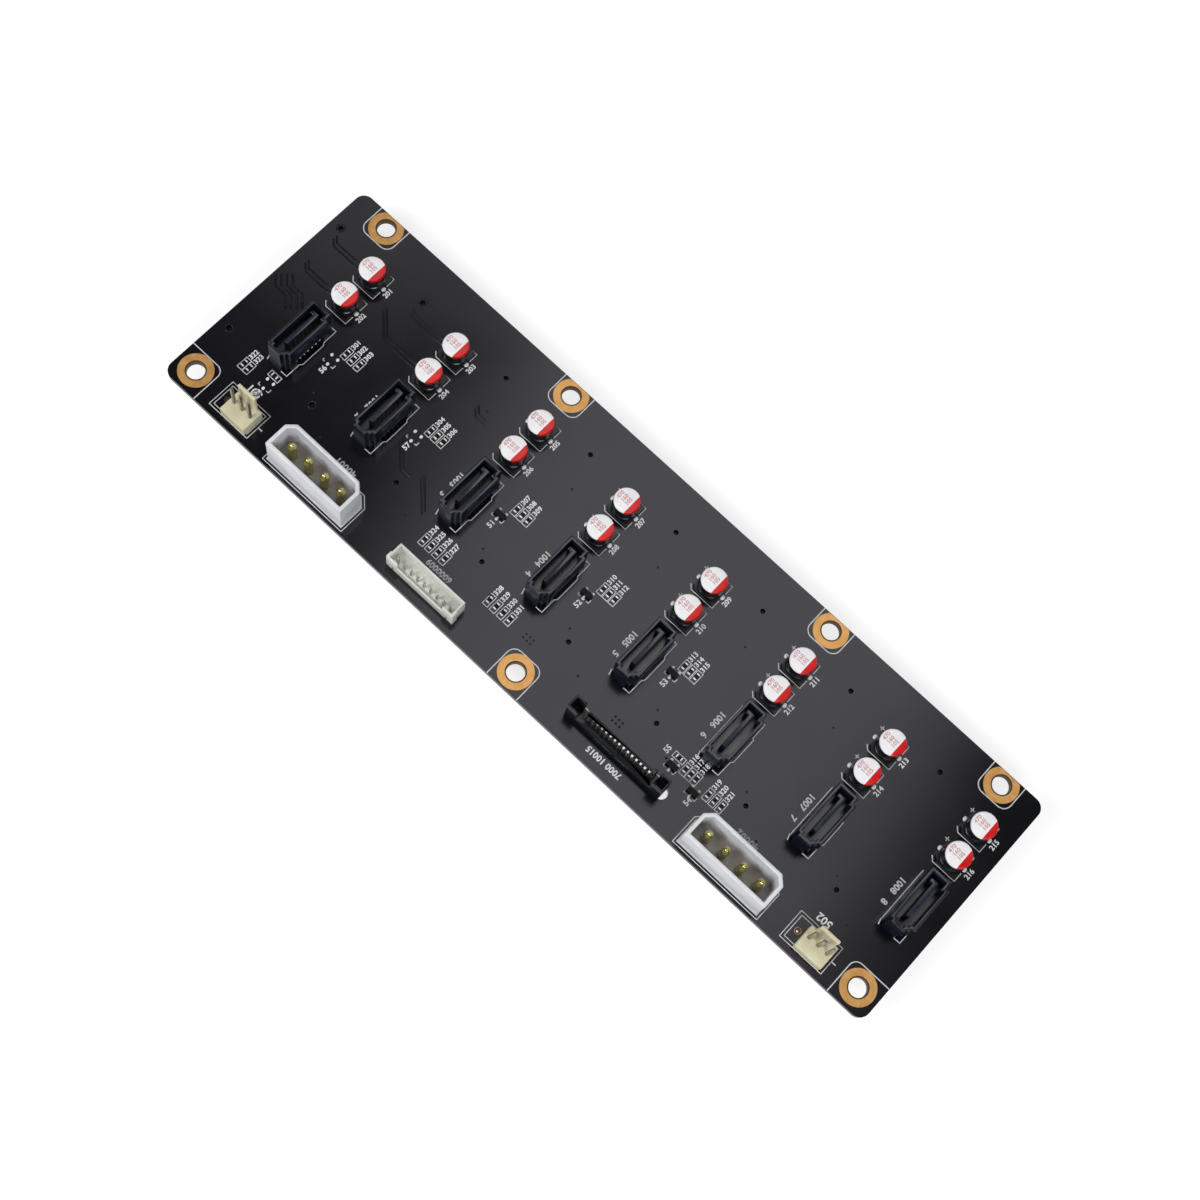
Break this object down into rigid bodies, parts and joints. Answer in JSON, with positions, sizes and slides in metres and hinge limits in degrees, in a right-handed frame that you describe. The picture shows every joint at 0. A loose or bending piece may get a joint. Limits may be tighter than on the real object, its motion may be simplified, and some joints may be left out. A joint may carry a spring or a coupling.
{
  "type": "drive backplane board",
  "caption": "Flat black circuit board joining a row of disk drives below to upright data, power, fan and indicator headers above",
  "frame": {"origin": "centre of the bounding box at its bottom, in the plane of the drive connectors' mating faces", "axes": "+X along the board from the first drive to the last, +Y from the power headers to the edge with four mounting holes, +Z out of the side that carries the headers"},
  "size_m": [0.2146, 0.0654, 0.0211],
  "materials": {
    "solder_mask": "satin",
    "black_plastic": "satin",
    "white_nylon": "satin",
    "cream_nylon": "satin",
    "ivory_nylon": "satin",
    "brass_pins": "satin",
    "gold_contacts": "satin",
    "tinned_metal": "satin",
    "can_aluminium": "satin",
    "chip_body": "satin"
  },
  "bodies": {
    "root": {"circuit_board": "solder_mask", "data_header_1": "black_plastic", "data_header_contacts_1": "gold_contacts", "drive_connector_1": "black_plastic", "drive_connector_contacts_1": "gold_contacts", "data_header_2": "black_plastic", "data_header_contacts_2": "gold_contacts", "drive_connector_2": "black_plastic", "drive_connector_contacts_2": "gold_contacts", "data_header_3": "black_plastic", "data_header_contacts_3": "gold_contacts", "drive_connector_3": "black_plastic", "drive_connector_contacts_3": "gold_contacts", "data_header_4": "black_plastic", "data_header_contacts_4": "gold_contacts", "drive_connector_4": "black_plastic", "drive_connector_contacts_4": "gold_contacts", "data_header_5": "black_plastic", "data_header_contacts_5": "gold_contacts", "drive_connector_5": "black_plastic", "drive_connector_contacts_5": "gold_contacts", "data_header_6": "black_plastic", "data_header_contacts_6": "gold_contacts", "drive_connector_6": "black_plastic", "drive_connector_contacts_6": "gold_contacts", "data_header_7": "black_plastic", "data_header_contacts_7": "gold_contacts", "drive_connector_7": "black_plastic", "drive_connector_contacts_7": "gold_contacts", "data_header_8": "black_plastic", "data_header_contacts_8": "gold_contacts", "drive_connector_8": "black_plastic", "drive_connector_contacts_8": "gold_contacts", "power_header_1": "white_nylon", "power_header_pins_1": "brass_pins", "fan_header_1": "cream_nylon", "fan_header_pins_1": "tinned_metal", "power_header_2": "white_nylon", "power_header_pins_2": "brass_pins", "fan_header_2": "cream_nylon", "fan_header_pins_2": "tinned_metal", "led_header": "ivory_nylon", "led_header_pins": "tinned_metal", "power_inlet": "black_plastic", "power_inlet_contacts": "gold_contacts", "capacitor_cans": "can_aluminium", "capacitor_bases": "black_plastic", "capacitor_leads": "tinned_metal", "chip_resistors": "chip_body", "chip_end_caps": "tinned_metal", "transistor_bodies": "chip_body", "transistor_leads": "tinned_metal"}
  },
  "joints": []
}
